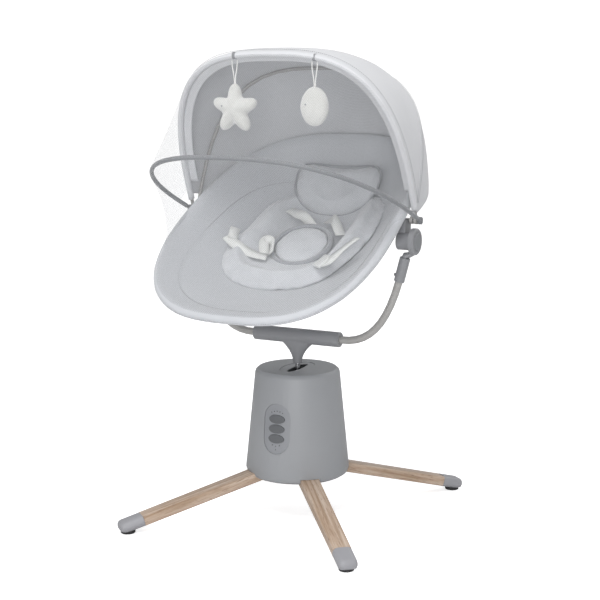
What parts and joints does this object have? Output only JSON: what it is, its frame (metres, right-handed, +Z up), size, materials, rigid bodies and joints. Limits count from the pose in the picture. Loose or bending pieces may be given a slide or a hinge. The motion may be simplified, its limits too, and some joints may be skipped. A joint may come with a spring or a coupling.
{
  "type": "baby swing",
  "caption": "Motorised baby swing: a reclining netted seat with a folding canopy on a forked stand with wooden legs.",
  "frame": {"origin": "on the floor under the base, at the middle of the object's bounding box", "axes": "+Z up; the child looks towards -Y; +X is the right-hand side seen from the front"},
  "size_m": [0.503, 0.5957, 0.9073],
  "materials": {
    "housing_plastic": "fine-textured light grey moulding",
    "panel_plastic": "smooth mid-grey moulding",
    "joint_plastic": "satin mid-grey moulding",
    "button_plastic": "soft dark grey",
    "black_plastic": "matt black",
    "tube_paint": "satin grey powder coat",
    "bright_steel": "ground steel",
    "copper_winding": "enamelled copper wire",
    "clear_acrylic": "clear moulding",
    "pale_oak": "pale oak, satin lacquer",
    "foot_rubber": "matt black",
    "seat_fabric": "light grey woven fabric",
    "insert_fabric": "soft brushed light grey fabric",
    "webbing": "satin white webbing",
    "netting": "fine sheer white net",
    "toy_plush": "short off-white plush"
  },
  "bodies": {
    "base": {"base_housing": "housing_plastic", "base_cover": "housing_plastic", "slot_bezel": "joint_plastic", "control_panel": "panel_plastic", "light_guide": "clear_acrylic", "power_socket": "black_plastic", "pivot_frame": "bright_steel", "pivot_shaft": "bright_steel", "bearing_left": "bright_steel", "bearing_right": "bright_steel", "drive_coil": "copper_winding", "centring_spring": "bright_steel", "leg_front_right": "pale_oak", "leg_back_right": "pale_oak", "leg_front_left": "pale_oak", "leg_back_left": "pale_oak", "foot_cap_front_right": "joint_plastic", "foot_cap_back_right": "joint_plastic", "foot_cap_front_left": "joint_plastic", "foot_cap_back_left": "joint_plastic", "glide_front_right": "foot_rubber", "glide_back_right": "foot_rubber", "glide_front_left": "foot_rubber", "glide_back_left": "foot_rubber"},
    "swing": {"swing_arm": "button_plastic", "drive_magnet": "bright_steel", "neck_post": "bright_steel", "yoke": "joint_plastic", "fork_tube_left": "tube_paint", "fork_tube_right": "tube_paint", "sleeve_left": "joint_plastic", "sleeve_right": "joint_plastic", "hub_ring_left": "joint_plastic", "hub_ring_right": "joint_plastic"},
    "seat": {"seat_frame": "tube_paint", "seat_bracket_left": "joint_plastic", "seat_bracket_right": "joint_plastic", "seat_sling": "seat_fabric", "newborn_insert": "insert_fabric", "head_pillow": "insert_fabric", "crotch_pad": "seat_fabric", "harness_left": "webbing", "harness_right": "webbing", "canopy_rear_panel": "seat_fabric"},
    "canopy_front": {"canopy_front_hoop": "tube_paint", "canopy_front_panel": "seat_fabric"},
    "canopy_mid": {"canopy_mid_hoop": "tube_paint"},
    "net": {"net_bow": "tube_paint", "insect_net": "netting"},
    "star_ring": {"star_ring": "joint_plastic"},
    "drop_ring": {"drop_ring": "joint_plastic"},
    "star": {"star_toy": "toy_plush"},
    "drop": {"drop_toy": "toy_plush"},
    "sleeve_pin_left": {"sleeve_pin_left": "button_plastic"},
    "sleeve_pin_right": {"sleeve_pin_right": "button_plastic"},
    "hub_button_left": {"hub_button_left": "button_plastic"},
    "hub_button_right": {"hub_button_right": "button_plastic"},
    "speed_button": {"speed_button": "button_plastic"},
    "timer_button": {"timer_button": "button_plastic"},
    "music_button": {"music_button": "button_plastic"}
  },
  "joints": [
    {"name": "swing", "type": "hinge", "parent": "base", "child": "swing", "pos_m": [0, 0.001, 0.15], "axis": [1, 0, 0], "range_deg": [-12, 12], "stiffness_Nm_per_rad": 70},
    {"name": "recline", "type": "hinge", "parent": "swing", "child": "seat", "pos_m": [0, 0.001, 0.552], "axis": [1, 0, 0], "range_deg": [-20, 8]},
    {"name": "canopy_fold", "type": "hinge", "parent": "seat", "child": "canopy_front", "pos_m": [0, 0.016, 0.59], "axis": [-1, 0, 0], "range_deg": [0, 50], "deforming": ["canopy_front_panel"]},
    {"name": "canopy_mid_fold", "type": "hinge", "parent": "seat", "child": "canopy_mid", "pos_m": [0, 0.016, 0.59], "axis": [-1, 0, 0], "range_deg": [0, 25], "deforming": ["canopy_rear_panel"]},
    {"name": "net_fold", "type": "hinge", "parent": "seat", "child": "net", "pos_m": [0, 0.016, 0.59], "axis": [-1, 0, 0], "range_deg": [0, 76], "deforming": ["insect_net"]},
    {"name": "star_ring_turn", "type": "hinge", "parent": "canopy_front", "child": "star_ring", "pos_m": [-0.0739, -0.1099, 0.8925], "axis": [1, 0, 0], "range_deg": [0, 50]},
    {"name": "drop_ring_turn", "type": "hinge", "parent": "canopy_front", "child": "drop_ring", "pos_m": [0.0889, -0.1087, 0.8895], "axis": [1, 0, 0], "range_deg": [0, 50]},
    {"name": "star_swing", "type": "hinge", "parent": "star_ring", "child": "star", "pos_m": [-0.0739, -0.1099, 0.8852], "axis": [1, 0, 0], "range_deg": [-20, 20]},
    {"name": "drop_swing", "type": "hinge", "parent": "drop_ring", "child": "drop", "pos_m": [0.0889, -0.1087, 0.8822], "axis": [1, 0, 0], "range_deg": [-20, 20]},
    {"name": "speed_press", "type": "slide", "parent": "base", "child": "speed_button", "axis": [0, 0.9952, -0.0974], "range_m": [0, 0.0015], "stiffness_N_per_m": 300},
    {"name": "timer_press", "type": "slide", "parent": "base", "child": "timer_button", "axis": [0, 0.9952, -0.0974], "range_m": [0, 0.0015], "stiffness_N_per_m": 300},
    {"name": "music_press", "type": "slide", "parent": "base", "child": "music_button", "axis": [0, 0.9952, -0.0974], "range_m": [0, 0.0015], "stiffness_N_per_m": 300},
    {"name": "hub_press_left", "type": "slide", "parent": "swing", "child": "hub_button_left", "axis": [1, 0, 0], "range_m": [0, 0.0025], "stiffness_N_per_m": 400},
    {"name": "sleeve_pin_press_left", "type": "slide", "parent": "swing", "child": "sleeve_pin_left", "axis": [-1, 0, 0], "range_m": [0, 0.0025], "stiffness_N_per_m": 300},
    {"name": "hub_press_right", "type": "slide", "parent": "swing", "child": "hub_button_right", "axis": [-1, 0, 0], "range_m": [0, 0.0025], "stiffness_N_per_m": 400},
    {"name": "sleeve_pin_press_right", "type": "slide", "parent": "swing", "child": "sleeve_pin_right", "axis": [1, 0, 0], "range_m": [0, 0.0025], "stiffness_N_per_m": 300}
  ],
  "couplings": [
    {"joint": "canopy_mid_fold", "follows": "canopy_fold", "ratio": 0.48},
    {"joint": "net_fold", "follows": "canopy_fold", "ratio": 1.5},
    {"joint": "star_ring_turn", "follows": "canopy_fold", "ratio": 1},
    {"joint": "drop_ring_turn", "follows": "canopy_fold", "ratio": 1}
  ]
}
